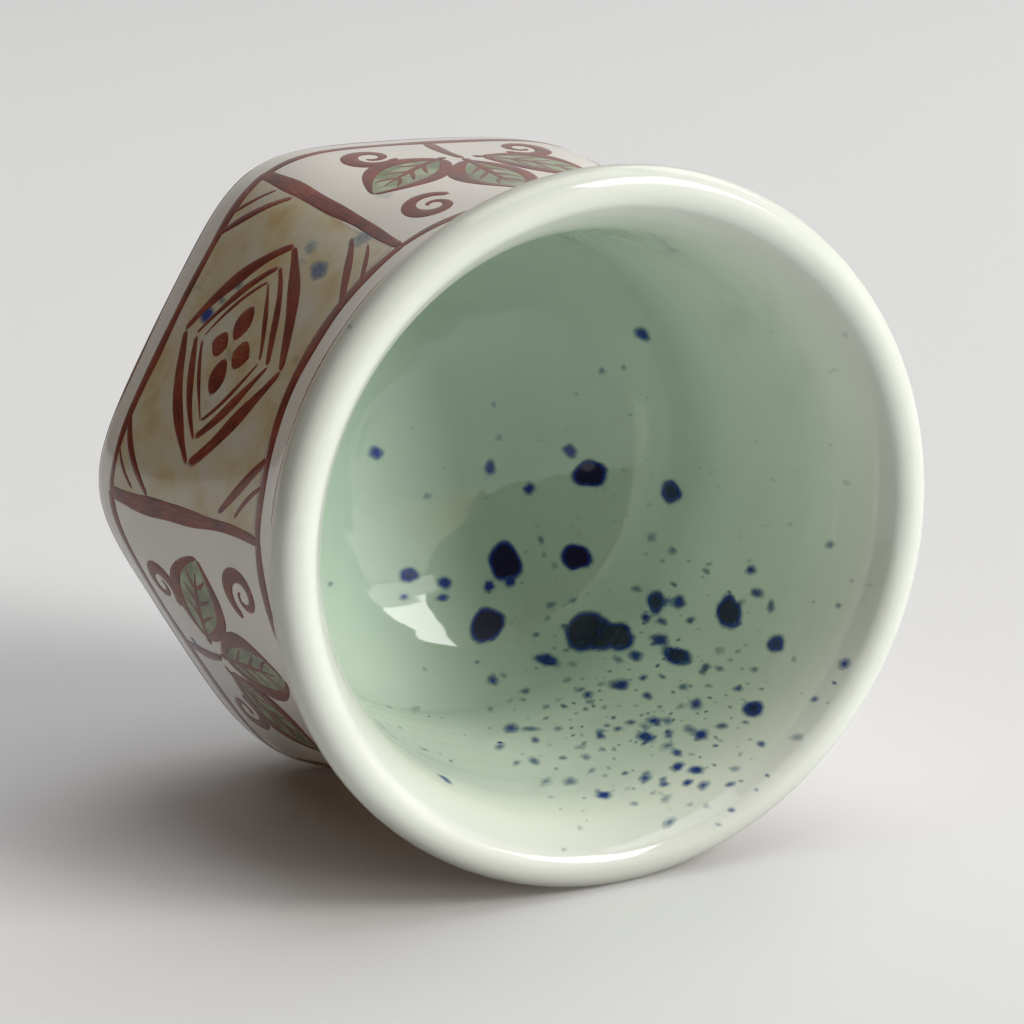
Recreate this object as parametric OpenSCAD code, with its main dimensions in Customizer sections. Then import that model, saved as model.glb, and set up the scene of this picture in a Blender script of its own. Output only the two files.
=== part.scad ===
// Guinomi: a small six-sided porcelain sake cup with a round, flared lip.
// Millimetres. The cup stands on its foot at z = 0, with its axis along Z.
// Two of the six flats face +Y and -Y, so two of the corners lie along X.

/* [Overall] */
// Height from the foot to the top of the lip
height = 47.2; // [44:0.2:56]
// Height of the widest level of the body
wide_z = 8.4; // [7:0.2:10]

/* [Lip and neck] */
// Outside diameter of the lip, over the glaze
lip_d = 58; // [55:0.5:66]
// Thickness of the rounded lip, over the glaze
lip_w = 3.6; // [3:0.1:5]
// Outside diameter of the round neck, over the glaze
neck_d = 51; // [49:0.5:54]
// Depth of the neck below the top of the lip
neck_drop = 11; // [8:0.5:14]
// How far the roll of the lip turns over to the inside, in degrees
lip_turn_in = 55; // [40:5:75]
// How far the roll of the lip turns under to the outside, in degrees
lip_turn_out = 35; // [20:5:50]

/* [Facets] */
// Width across the flats at the widest level, over the glaze
flats_w = 55.8; // [54:0.2:58]
// Width across the rounded corners at the widest level, over the glaze
corners_w = 60.4; // [59:0.2:62]
// How far the planes of the flats stand clear of the neck
flat_fade = 0.4; // [0.2:0.1:1]

/* [Foot] */
// Outside diameter of the foot ring
foot_d = 36; // [30:0.5:40]
// Wall of the foot ring
foot_w = 3.2; // [2.5:0.1:5]
// Height of the foot ring
foot_h = 3; // [2:0.1:4]
// Bevel along the two lower edges of the foot ring
foot_bevel = 0.7; // [0.3:0.1:1]

/* [Inside] */
// Wall at the neck, over the glaze on both faces
neck_wall = 3.2; // [2.6:0.1:5]
// Wall at the middle of a flat, at the belly, over the glaze on both faces
belly_wall = 3.8; // [3:0.1:6]
// Height of the belly, where the wall starts to turn into the floor
belly_z = 21; // [18:0.5:25]
// Porcelain under the middle of the floor
floor_wall = 4.4; // [3.5:0.1:6]

/* [Glaze and cobalt] */
// Glaze on the walls
glaze_t = 0.4; // [0.3:0.05:0.6]
// Glaze pooled at the middle of the floor
pool_t = 1; // [0.6:0.1:1.4]
// Glaze on the base inside the foot ring
base_glaze_t = 0.3; // [0.2:0.05:0.6]
// Depth to which the cobalt has sunk into the glaze
cobalt_t = 0.1; // [0.06:0.02:0.2]
// Diameter of the largest cobalt drop inside
inside_drop_d = 4.6; // [3:0.1:6]
// Diameter of the largest cobalt drop outside
outside_drop_d = 2.2; // [1.5:0.1:3]

/* [Enamel] */
// Thickness of the enamel painted over the glaze
enamel_t = 0.12; // [0.08:0.02:0.2]
// Width of a painted line
line_w = 1.3; // [0.8:0.1:1.6]
// Bare strip between a frame and the wash inside it
wash_gap = 0.5; // [0.3:0.1:1]
// Lower edge of the frames above the widest level, up the flat
frame_low = 2; // [1.5:0.1:4]
// Upper edge of the frames above the widest level, up the flat
frame_top = 26.6; // [24:0.1:27]
// Width of the outer lozenge on a yellow panel
lozenge_w = 22; // [18:0.5:23]
// Height of the outer lozenge on a yellow panel
lozenge_h = 19; // [16:0.5:20]
// Length of a painted leaf
leaf_len = 10.4; // [8:0.2:11]
// Width of a painted leaf
leaf_w = 5.6; // [4:0.2:6]
// Distance of a leaf from the point where the three leaves would meet
leaf_gap = 2.4; // [1.8:0.1:2.8]
// Length of the stalk below that point
stalk_len = 5; // [3:0.2:6]

/* [Hidden] */

// Past the surface that a cut goes through
overrun = 0.5;
// Smoothness of the turned forms and of the steps along their outlines
turn_fn = 96;
pin_fn = 24;
wall_steps = 9;
arc_steps = 6;
roll_steps = 9;
bowl_steps = 12;

// The six flats, numbered anticlockwise from the one that faces +Y
sides = 6;
side_angle = 360 / sides;
yellow_sides = [1, 3, 5];
green_sides = [0, 2, 4];

// How far each end of a flare keeps its heading, as a share of the flare's length
flare_share = 0.35;

// Levels and bare porcelain radii that the outlines run through
neck_z = height - neck_drop;
lip_mid_z = height - lip_w / 2;
lip_mid_r = lip_d / 2 - lip_w / 2;
wide_r = corners_w / 2 - glaze_t;
neck_r = neck_d / 2 - glaze_t;
foot_r = foot_d / 2;
pool_ratio = pool_t / glaze_t;

// The flats lean in from the widest level to the neck
flat_rise = neck_z - wide_z;
flat_lean = atan((flats_w - neck_d - 2 * flat_fade) / 2 / flat_rise);
flat_len = flat_rise / cos(flat_lean);

// The inside follows the outside at the depth of the walls
throat_r = neck_d / 2 - neck_wall + glaze_t;
belly_r = flats_w / 2 - (belly_z - wide_z) * tan(flat_lean) - belly_wall + glaze_t;

// Cobalt drops in the bowl: turn about Z, dip below the level of the belly, and diameter
bowl_drop_shares = [
    [0.86, 0.16, 1], [0.80, 0.47, 0.65], [0.85, 0.61, 0.65], [0.89, 0.46, 0.6],
    [0.97, 0.51, 0.65], [0.97, 0.20, 0.5], [0.89, 0.04, 0.5], [0.82, 0.27, 0.4],
    [0.78, 0.31, 0.3], [0.93, 0.70, 0.3], [0.94, 0.80, 0.3], [0.50, 0.88, 0.3],
    [0.72, 0.66, 0.4], [0.77, 0.64, 0.35], [0.08, 0.27, 0.4], [0.06, 0.46, 0.22],
    [0.93, 0.20, 0.25], [0.99, 0.58, 0.3]];

// Cobalt drops on the wall: turn about Z, height from the belly to the neck, and diameter
wall_drop_shares = [
    [0.90, 0.76, 0.6], [0.87, 0.53, 0.5], [0.87, 0.27, 0.45], [0.85, 0.95, 0.4],
    [0.81, 0.93, 0.4], [0.83, 0.40, 0.35], [0.93, 0.90, 0.3], [0.77, 0.20, 0.35]];

// Cobalt drops outside: turn about Z, height up the flats, and diameter
outside_drop_shares = [
    [0.19, 0.80, 0.8], [0.22, 0.62, 0.6], [0.29, 0.90, 1], [0.31, 0.72, 0.7],
    [0.34, 0.84, 0.8], [0.37, 0.26, 0.9], [0.39, 0.34, 0.5], [0.45, 0.70, 0.5],
    [0.58, 0.20, 0.5], [0.66, 0.56, 0.7], [0.78, 0.36, 0.5], [0.92, 0.64, 0.7],
    [0.05, 0.42, 0.5], [0.10, 0.76, 0.6]];

// Smooth step from 0 to 1
function ease(t) = t * t * (3 - 2 * t);

// Points after the first on a wall that leaves and reaches its end levels upright
function wall(from, to) = [for (i = [1 : wall_steps]) let (t = i / wall_steps)
    [from[0] + (to[0] - from[0]) * ease(t), from[1] + (to[1] - from[1]) * t]];

// Points after the first on a flare, given its heading where it leaves and where it arrives
function flare(from, leave, to, arrive) =
    let (reach = flare_share * norm(to - from))
    [for (i = [1 : wall_steps]) let (t = i / wall_steps, s = 1 - t)
        s * s * s * from + 3 * s * s * t * (from + reach * leave)
        + 3 * s * t * t * (to - reach * arrive) + t * t * t * to];

// Points on an elliptical arc about a centre
function arc(middle, reach, start, end, steps) = [for (i = [0 : steps])
    let (a = start + (end - start) * i / steps)
    [middle[0] + reach[0] * cos(a), middle[1] + reach[1] * sin(a)]];

// Radius of the lip's roll, and points round it, at a growth over the porcelain
function roll_r(grow) = lip_w / 2 - glaze_t + grow;
function on_roll(grow, a) = [lip_mid_r + roll_r(grow) * cos(a), lip_mid_z + roll_r(grow) * sin(a)];
function roll(grow, start, end) = [for (i = [1 : roll_steps])
    on_roll(grow, start + (end - start) * i / roll_steps)];

// Outside of the round form, from the foot to the crest of the lip
function outer_line(grow) = concat(
    arc([foot_r, wide_z], [wide_r + grow - foot_r, wide_z - foot_h + grow], -90, 0, arc_steps),
    wall([wide_r + grow, wide_z], [neck_r + grow, neck_z]),
    flare([neck_r + grow, neck_z], [0, 1],
          on_roll(grow, -lip_turn_out), [sin(lip_turn_out), cos(lip_turn_out)]),
    roll(grow, -lip_turn_out, 90));

// Level of the middle of the floor, where the growth is the pooled glaze
function floor_at(grow) = foot_h + floor_wall + grow * pool_ratio;

// Inside, from the crest of the lip to the middle of the floor
function inner_line(grow) = concat(
    [on_roll(grow, 90)],
    roll(grow, 90, 90 + lip_turn_in),
    flare(on_roll(grow, 90 + lip_turn_in), [-cos(lip_turn_in), -sin(lip_turn_in)],
          [throat_r - grow, neck_z], [0, -1]),
    wall([throat_r - grow, neck_z], [belly_r - grow, belly_z]),
    [for (i = [1 : bowl_steps]) let (a = 90 * i / bowl_steps)
        [(belly_r - grow) * cos(a), belly_z - (belly_z - floor_at(grow)) * sin(a)]]);

function reversed(points) = [for (i = [len(points) - 1 : -1 : 0]) points[i]];

module turned(points) rotate_extrude($fn = turn_fn) polygon(points);

// What the six flats take off the round form
module flat_cuts(grow) for (side = [0 : sides - 1])
    rotate([0, 0, side_angle * side])
        translate([0, flats_w / 2 - glaze_t + grow, wide_z])
            rotate([flat_lean, 0, 0])
                translate([-corners_w / 2, 0, -wide_z - overrun])
                    cube([corners_w, corners_w / 2, wide_z + overrun + flat_len]);

// The outside as a full solid, with no hollow
module outer_form(grow) difference() {
    turned(concat([[0, foot_h - grow]], outer_line(grow), [[0, lip_mid_z + roll_r(grow)]]));
    flat_cuts(grow);
}

// The bare outside, run on past the crest of the lip and past the foot
module outer_core() difference() {
    turned(concat([[0, -overrun], [foot_r, -overrun]], outer_line(0),
                  [[lip_mid_r, height + overrun], [0, height + overrun]]));
    flat_cuts(0);
}

// The hollow of the cup, run on past the top of the lip
module hollow(grow) turned(concat([[0, height + overrun], [lip_mid_r, height + overrun]],
                                  inner_line(grow)));

// Distance from the middle of the belly to the glazed bowl, along a dip
function bowl_reach(dip) =
    1 / norm([cos(dip) / (belly_r - glaze_t), sin(dip) / (belly_z - floor_at(glaze_t))]);

// Radius of the glazed wall at a share of the height from the belly to the neck
function wall_reach(rise_share) = belly_r - glaze_t + (throat_r - belly_r) * ease(rise_share);

// Pins that give the drops their round outline, each about as long as it is wide
module pin(reach, size) translate([0, 0, reach - size])
    cylinder(d = size, h = 2 * size, $fn = pin_fn);

module bowl_pins() for (drop = bowl_drop_shares)
    let (dip = 90 * drop[1])
        translate([0, 0, belly_z])
            rotate([0, 90 + dip, 360 * drop[0]])
                pin(bowl_reach(dip), inside_drop_d * drop[2]);

module wall_pins() for (drop = wall_drop_shares)
    translate([0, 0, belly_z + (neck_z - belly_z) * drop[1]])
        rotate([0, 90, 360 * drop[0]])
            pin(wall_reach(drop[1]), inside_drop_d * drop[2]);

module outside_pins() for (drop = outside_drop_shares)
    translate([0, 0, wide_z + flat_rise * drop[1]])
        rotate([0, 90, 360 * drop[0]])
            cylinder(d = outside_drop_d * drop[2], h = corners_w, $fn = pin_fn);

// Pockets in the glaze for the drops
module inside_pockets() intersection() {
    union() {
        bowl_pins();
        wall_pins();
    }
    hollow(glaze_t - cobalt_t);
}

module outside_pockets() difference() {
    outside_pins();
    outer_form(glaze_t - cobalt_t);
}

// Enamel lies on the glaze
module enamel_skin() difference() {
    outer_form(glaze_t + enamel_t);
    outer_form(glaze_t);
}

// Outlines given for each side, carried through the wall square to the flat
module stencil(chosen) for (side = chosen)
    rotate([0, 0, side_angle * side])
        translate([0, flats_w / 2, wide_z])
            rotate([flat_lean, 0, 0])
                rotate([90, 0, 180])
                    translate([0, 0, -flats_w / 4])
                        linear_extrude(flats_w / 2) children();

module on_sides(chosen) intersection() {
    enamel_skin();
    stencil(chosen) children();
}

// One line round the cup, with its lower edge at a place up the flats
module ring_line(up) translate([0, 0, wide_z + up * cos(flat_lean)])
    cylinder(d = corners_w + 2 * overrun, h = line_w * cos(flat_lean), $fn = turn_fn);

// A line up each corner, from the middle of the lower ring to the middle of the upper one
module corner_lines(grow) for (side = [0 : sides - 1])
    rotate([0, 0, side_angle * (side + 1 / 2)])
        translate([-line_w / 2 - grow, 0, wide_z + (frame_low + line_w / 2) * cos(flat_lean)])
            cube([line_w + 2 * grow, corners_w, (frame_top - frame_low - line_w) * cos(flat_lean)]);

// A wash fills a side between the lines of the frame, but for a bare strip along them
module wash_field(chosen) let (strip = line_w + wash_gap) difference() {
    for (side = chosen)
        rotate([0, 0, side_angle * side])
            translate([0, 0, wide_z + (frame_low + strip) * cos(flat_lean)])
                linear_extrude((frame_top - frame_low - 2 * strip) * cos(flat_lean))
                    polygon([for (way = [-1, 0, 1])
                        corners_w * [way * tan(side_angle / 2), abs(way)]]);
    corner_lines(wash_gap);
}

// A lozenge at the middle of the panel, drawn in by an inset
module lozenge(inset) translate([0, (frame_low + frame_top) / 2])
    polygon([[lozenge_w / 2 - inset, 0], [0, lozenge_h / 2 - inset],
             [-lozenge_w / 2 + inset, 0], [0, -lozenge_h / 2 + inset]]);

// Two nested lozenge lines and a small solid lozenge in the middle
module lozenge_lines() {
    difference() {
        lozenge(0);
        lozenge(line_w);
    }
    difference() {
        lozenge(2 * line_w);
        lozenge(3 * line_w);
    }
    lozenge(4 * line_w);
}

// A leaf is the overlap of two circles
leaf_r = (leaf_len * leaf_len + leaf_w * leaf_w) / (4 * leaf_w);

module leaf(inset) intersection_for (way = [-1, 1])
    translate([way * (leaf_r - leaf_w / 2), leaf_gap + leaf_len / 2])
        circle(leaf_r - inset, $fn = turn_fn);

// Three leaves fan out from a point above the panel's lower edge
module sprig() translate([0, frame_low + line_w + wash_gap + stalk_len])
    for (way = [-1, 0, 1]) rotate(way * side_angle) children();

module leaf_lines() {
    sprig() difference() {
        leaf(0);
        leaf(line_w / 2);
    }
    translate([-line_w / 2, frame_low + line_w + wash_gap]) square([line_w, stalk_len]);
}

module porcelain_body() color("ivory") difference() {
    turned(concat([[0, foot_h]], outer_line(0), inner_line(0)));
    flat_cuts(0);
}

module foot_ring() color("linen") turned([
    [foot_r - foot_w, foot_h], [foot_r - foot_w, foot_bevel], [foot_r - foot_w + foot_bevel, 0],
    [foot_r - foot_bevel, 0], [foot_r, foot_bevel], [foot_r, foot_h]]);

module inner_glaze() color("honeydew") difference() {
    turned(concat(inner_line(0), reversed(inner_line(glaze_t))));
    inside_pockets();
}

module outer_glaze() color("whitesmoke") difference() {
    outer_form(glaze_t);
    outer_core();
    outside_pockets();
}

module base_glaze() color("whitesmoke") translate([0, 0, foot_h - base_glaze_t])
    cylinder(r = foot_r - foot_w, h = base_glaze_t, $fn = turn_fn);

module cobalt_drops_inside() color("midnightblue") difference() {
    inside_pockets();
    hollow(glaze_t);
}

module cobalt_drops_outside() color("midnightblue") intersection() {
    outside_pockets();
    outer_form(glaze_t);
}

module red_frames() color("saddlebrown") intersection() {
    enamel_skin();
    union() {
        ring_line(frame_low);
        ring_line(frame_top - line_w);
        corner_lines(0);
    }
}

module red_lozenges() color("brown") on_sides(yellow_sides) lozenge_lines();

module red_leaf_lines() color("brown") on_sides(green_sides) leaf_lines();

module yellow_washes() color("goldenrod") difference() {
    intersection() {
        enamel_skin();
        wash_field(yellow_sides);
    }
    stencil(yellow_sides) lozenge_lines();
}

module green_leaves() color("darkolivegreen") on_sides(green_sides) sprig() leaf(line_w / 2);

porcelain_body();
foot_ring();
inner_glaze();
outer_glaze();
base_glaze();
cobalt_drops_inside();
cobalt_drops_outside();
red_frames();
red_lozenges();
red_leaf_lines();
yellow_washes();
green_leaves();
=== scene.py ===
import math
import random

import bpy
import numpy as np
from mathutils import Matrix, Vector
from mathutils.bvhtree import BVHTree


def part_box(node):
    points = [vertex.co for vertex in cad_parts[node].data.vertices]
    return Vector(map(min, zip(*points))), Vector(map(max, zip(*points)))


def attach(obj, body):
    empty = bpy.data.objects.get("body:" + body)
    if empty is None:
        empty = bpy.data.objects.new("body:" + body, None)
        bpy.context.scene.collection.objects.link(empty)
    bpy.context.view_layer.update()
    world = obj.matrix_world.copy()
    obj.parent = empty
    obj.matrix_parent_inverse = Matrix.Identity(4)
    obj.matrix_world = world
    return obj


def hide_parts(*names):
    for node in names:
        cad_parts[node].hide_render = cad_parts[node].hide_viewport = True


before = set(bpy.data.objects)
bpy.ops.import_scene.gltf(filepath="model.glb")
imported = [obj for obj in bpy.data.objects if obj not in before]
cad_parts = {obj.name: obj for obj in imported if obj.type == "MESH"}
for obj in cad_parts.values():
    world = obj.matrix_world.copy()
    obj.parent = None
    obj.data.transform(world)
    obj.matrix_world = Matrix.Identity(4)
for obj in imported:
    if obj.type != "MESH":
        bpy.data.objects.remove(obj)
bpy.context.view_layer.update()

mm = 0.001
print("frame loaded:", len(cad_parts), "nodes")

# Cup form: what the frame can tell is read from it, the rest are the cup's own sizes
_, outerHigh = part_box("outer_glaze")
innerLow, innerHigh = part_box("inner_glaze")
_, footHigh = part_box("foot_ring")
baseLow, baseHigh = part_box("base_glaze")

cup = {
    "height": outerHigh.z,
    "lipR": outerHigh.y,               # the lip stands out past the flats
    "crestR": innerHigh.x,             # where the two glazes meet on top of the lip
    "footR": footHigh.x,
    "footInR": baseHigh.x,
    "footH": footHigh.z,
    "floorZ": innerLow.z + 1.0 * mm,   # with the glaze pooled on the floor
    "flatR": 27.9 * mm,                # axis to the middle of a flat, at the widest level
    "wideZ": 8.4 * mm,
    "neckR": 25.5 * mm,
    "neckDrop": 11 * mm,
    "lipTurnIn": math.radians(55),     # how far the lip's roll turns over to the inside
    "lipTurnOut": math.radians(35),    # and under to the outside
    "flareShare": 0.35,                # how far each end of a flare keeps its heading
    "throatR": 22.7 * mm,
    "throatDrop": 14 * mm,
    "throatLean": math.radians(5),     # the wall leans open towards the lip
    "bellyR": 22.0 * mm,
    "bellyZ": 18.5 * mm,
    "cornerPower": 10.6,               # higher is a sharper corner
    "hexLeftAtNeck": 0.12,             # share of the six-sided form still there at the neck
    "sides": 6,
    "around": 384,                     # mesh steps round the cup
    "rows": {"under": 22, "wall": 60, "flare": 40, "lip": 20,             # mesh rows up the outside
             "lipIn": 14, "flareIn": 44, "wallIn": 36, "bowl": 64},       # and down the inside
    "backStep": 6,                     # the hidden face of a glaze has every sixth row
    "cutWave": 0.05 * mm,              # unevenness of the hand-cut flats
    "cutWaves": ((1, 3, 210, 0.6), (0.7, 5, -330, 2.1), (0.5, 11, 480, 0)),  # share, waves round, rise, start
    "cutFade": (6 * mm, 12 * mm),      # where it dies away, from the foot and from the lip
    "throwMark": 0.006 * mm,           # height of the throwing rings inside
    "throwPitch": 3.4 * mm,
    "throwFine": (0.47, 0.5),          # a finer spiral between them, share of the pitch and of the height
    "throwFade": 4 * mm,               # they die away towards the lip
    "bowlDip": 89.6,                   # degrees down the bowl, just short of the axis
    "headingStep": (0.002, 0.05 * mm),  # turn and rise over which the way out of a side is taken
    "glaze": 0.3 * mm,
}
cup["lipRollR"] = cup["lipR"] - cup["crestR"]
cup["lipZ"] = cup["height"] - cup["lipRollR"]
cup["neckZ"] = cup["height"] - cup["neckDrop"]
cup["throatZ"] = cup["height"] - cup["throatDrop"]


def ease(t):
    return t * t * (3 - 2 * t)


def sideAngle(side):
    return math.radians(90 + 360 / cup["sides"] * side)


def hexShape(angle):
    # 1 at the middle of a flat, rising smoothly to a rounded corner
    total = 0
    for side in range(cup["sides"]):
        total = total + np.maximum(0, np.cos(angle - sideAngle(side))) ** cup["cornerPower"]
    return total ** (-1 / cup["cornerPower"])


def lengthAlong(line):
    # from the first point of a line to each of its points
    return np.concatenate([[0], np.cumsum(np.linalg.norm(np.diff(line, axis=0), axis=1))])


def flare(start, leave, end, arrive, steps):
    # points on a curve with a heading at each end
    start, leave, end, arrive = (np.array(p, float) for p in (start, leave, end, arrive))
    reach = cup["flareShare"] * np.linalg.norm(end - start)
    t = np.linspace(0, 1, steps)[:, None]
    s = 1 - t
    return (s ** 3 * start + 3 * s * s * t * (start + reach * leave)
            + 3 * s * t * t * (end - reach * arrive) + t ** 3 * end)


def onRoll(turn):
    # a place on the rounded lip, turned from straight out to straight up and on to the inside
    return cup["crestR"] + cup["lipRollR"] * np.cos(turn), cup["lipZ"] + cup["lipRollR"] * np.sin(turn)


turnOut, turnIn = cup["lipTurnOut"], cup["lipTurnIn"]
flareTop = onRoll(-turnOut)
wallWay = (-math.sin(cup["throatLean"]), -math.cos(cup["throatLean"]))
outerFlare = flare((cup["neckR"], cup["neckZ"]), (0, 1),
                   flareTop, (math.sin(turnOut), math.cos(turnOut)), cup["rows"]["flare"])
innerFlare = flare(onRoll(math.pi / 2 + turnIn), (-math.cos(turnIn), -math.sin(turnIn)),
                   (cup["throatR"], cup["throatZ"]), wallWay, cup["rows"]["flareIn"])
innerWall = flare((cup["throatR"], cup["throatZ"]), wallWay,
                  (cup["bellyR"], cup["bellyZ"]), (0, -1), cup["rows"]["wallIn"])


def outerForm(z):
    # radius at the middle of a flat, and how six-sided the outside is, at a height
    z = np.asarray(z, float)
    underShare = np.clip((cup["wideZ"] - z) / (cup["wideZ"] - cup["footH"]), 0, 1)
    under = np.sqrt(np.maximum(0, 1 - underShare ** 2))
    wall = ease(np.clip((z - cup["wideZ"]) / (cup["neckZ"] - cup["wideZ"]), 0, 1))
    radius = cup["flatR"] + (cup["neckR"] - cup["flatR"]) * wall
    radius = np.where(z > cup["neckZ"], np.interp(z, outerFlare[:, 1], outerFlare[:, 0]), radius)
    radius = np.where(z < cup["wideZ"], cup["footR"] + (cup["flatR"] - cup["footR"]) * under, radius)
    aboveNeck = np.clip((z - cup["neckZ"]) / (flareTop[1] - cup["neckZ"]), 0, 1)
    hexShare = (1 - (1 - cup["hexLeftAtNeck"]) * wall) * (1 - aboveNeck)
    hexShare = np.where(z < cup["wideZ"], under, hexShare)
    return radius, hexShare


def cutWave(angle, z):
    # slow unevenness of the cut flats, gone at the lip and at the foot
    fromFoot = np.clip((z - cup["footH"]) / cup["cutFade"][0], 0, 1)
    fromLip = np.clip((cup["lipZ"] - z) / cup["cutFade"][1], 0, 1)
    wave = sum(share * np.sin(turns * angle + rise * z + start)
               for share, turns, rise, start in cup["cutWaves"])
    return cup["cutWave"] * fromFoot * fromLip * wave


def outerPoint(angle, z):
    radius, hexShare = outerForm(z)
    radius = radius * (1 + (hexShape(angle) - 1) * hexShare) + cutWave(angle, z)
    return np.stack([radius * np.cos(angle), radius * np.sin(angle), z + 0 * angle], -1)


def outerNormal(angle, z):
    turnStep, riseStep = cup["headingStep"]
    turn = outerPoint(angle + turnStep, z) - outerPoint(angle - turnStep, z)
    rise = outerPoint(angle, z + riseStep) - outerPoint(angle, z - riseStep)
    normal = np.cross(turn, rise)
    return normal / np.linalg.norm(normal, axis=-1, keepdims=True)


def throwMark(length, angle):
    # shallow spiral left by the thrower's fingers, with a finer one about twice as close
    closer, lower = cup["throwFine"]
    wave = np.sin(2 * np.pi * length / cup["throwPitch"] + angle)
    wave = wave + lower * np.sin(2 * np.pi * length / (closer * cup["throwPitch"]) + 2 * angle + 1.3)
    return cup["throwMark"] * wave


# Camera: the cup lies on its lip and on one flat, with its mouth turned a little from the camera
photoView = {
    "imageSize": 1024,
    "fieldOfView": math.radians(22),
    "mouthTurn": math.radians(26.5),   # mouth to the right of the line to the camera
    "pitch": math.radians(14.95),      # camera looks down
    "back": 199 * mm,                  # camera from the place where the lip touches the floor
    "left": 8.5 * mm,
    "up": 84.1 * mm,
}

lipTouch = Vector((0, -cup["lipR"], cup["lipZ"]))
baseTouch = Vector((0, -cup["flatR"], cup["wideZ"]))
mouthWay = (lipTouch - baseTouch).normalized()
floorUp = mouthWay.cross(Vector((1, 0, 0))).normalized()
sideWay = floorUp.cross(mouthWay)
toCamera = mouthWay * math.cos(photoView["mouthTurn"]) - sideWay * math.sin(photoView["mouthTurn"])
photoRight = floorUp.cross(toCamera)
cameraBack = toCamera * math.cos(photoView["pitch"]) + floorUp * math.sin(photoView["pitch"])
cameraUp = cameraBack.cross(photoRight)


def photoPlace(right, up, toward):
    # a place given from where the lip touches the floor, as the camera sees it
    return lipTouch + photoRight * right + floorUp * up + toCamera * toward


def standing(xWay, yWay, zWay, place):
    columns = [xWay, yWay, zWay, place]
    return Matrix([[column[i] for column in columns] for i in range(3)] + [[0, 0, 0, 1]])


cameraPlace = photoPlace(-photoView["left"], photoView["up"], photoView["back"])
cameraData = bpy.data.cameras.new("photoCamera")
cameraData.sensor_fit = "HORIZONTAL"
cameraData.angle = photoView["fieldOfView"]
cameraData.clip_start = 1 * mm
camera = bpy.data.objects.new("photoCamera", cameraData)
bpy.context.scene.collection.objects.link(camera)
camera.matrix_world = standing(photoRight, cameraUp, cameraBack, cameraPlace)
bpy.context.scene.camera = camera


def pixelRay(x, y):
    # direction from the camera through a pixel of the photo
    half = photoView["imageSize"] / 2
    spread = math.tan(photoView["fieldOfView"] / 2) / half
    return (photoRight * ((x - half) * spread) + cameraUp * ((half - y) * spread) - cameraBack).normalized()


print("camera set")


# Materials: one function adds a node with its settings and links
def addNode(tree, kind, settings=None, links=None):
    # a link comes from a node's first output, or from the one named beside the node
    node = tree.nodes.new("ShaderNode" + kind)
    for name, value in (settings or {}).items():
        if isinstance(name, int) or name in node.inputs:
            node.inputs[name].default_value = value
        else:
            setattr(node, name, value)
    for name, source in (links or {}).items():
        source, output = source if isinstance(source, tuple) else (source, 0)
        tree.links.new(source.outputs[output], node.inputs[name])
    return node


def hexColour(code):
    # sRGB hex to the linear colour that the shaders take
    levels = [int(code[i:i + 2], 16) / 255 for i in (1, 3, 5)]
    return [v / 12.92 if v <= 0.04045 else ((v + 0.055) / 1.055) ** 2.4 for v in levels] + [1]


def setStops(ramp, stops):
    elements = ramp.color_ramp.elements
    while len(elements) < len(stops):
        elements.new(0.5)
    for element, (place, code) in zip(elements, stops):
        element.position = place
        element.color = hexColour(code)


def newMaterial(name):
    material = bpy.data.materials.new(name)
    material.use_nodes = True
    tree = material.node_tree
    tree.nodes.clear()
    return material, tree


def finished(material, look, links):
    # every fired finish ends in one shader with its own gloss
    tree = material.node_tree
    shader = addNode(tree, "BsdfPrincipled", {"Roughness": look["roughness"], "IOR": look["ior"]}, links)
    addNode(tree, "OutputMaterial", None, {"Surface": shader})
    return material


# Celadon glaze, dipped and fired glossy: cream where it thins over the lip, greener as it pools
celadon = {
    "name": "celadonGlaze", "lip": "#ced4cd", "flare": "#d8dfd2", "wall": "#cedacd", "pool": "#a9beae",
    "low": cup["floorZ"], "mottleSize": 7 * mm, "mottle": 0.05, "roughness": 0.04, "ior": 1.58,
    "ripple": 2.4 * mm, "rippleHeight": 0.004 * mm,
    "bands": ((0, "pool"), (0.45, "wall"), (0.74, "wall"), (0.9, "flare"), (0.98, "lip")),
}

# Clear glaze over white porcelain: a cool white, a brownish band under the lip that is painted shade of the
# lip's underside over the thin glaze there, cream on it
lipRise = (cup["lipZ"] - cup["footH"]) / (cup["height"] - cup["footH"])
clear = {
    "name": "clearGlaze", "lip": "#ced4cd", "edge": "#b79f7c", "wall": "#d9d5cf", "foot": "#d8d5d0",
    "low": cup["footH"], "mottleSize": 9 * mm, "mottle": 0.04, "roughness": 0.06, "ior": 1.5,
    "ripple": 2.6 * mm, "rippleHeight": 0.006 * mm,
    # the edge band is painted shade under the lip's roll, laid all round the cup over the thin glaze
    "bands": ((0, "foot"), (0.3, "wall"), (lipRise - 0.07, "wall"), (lipRise - 0.025, "edge"),
              (lipRise + 0.012, "lip")),
}


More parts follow.
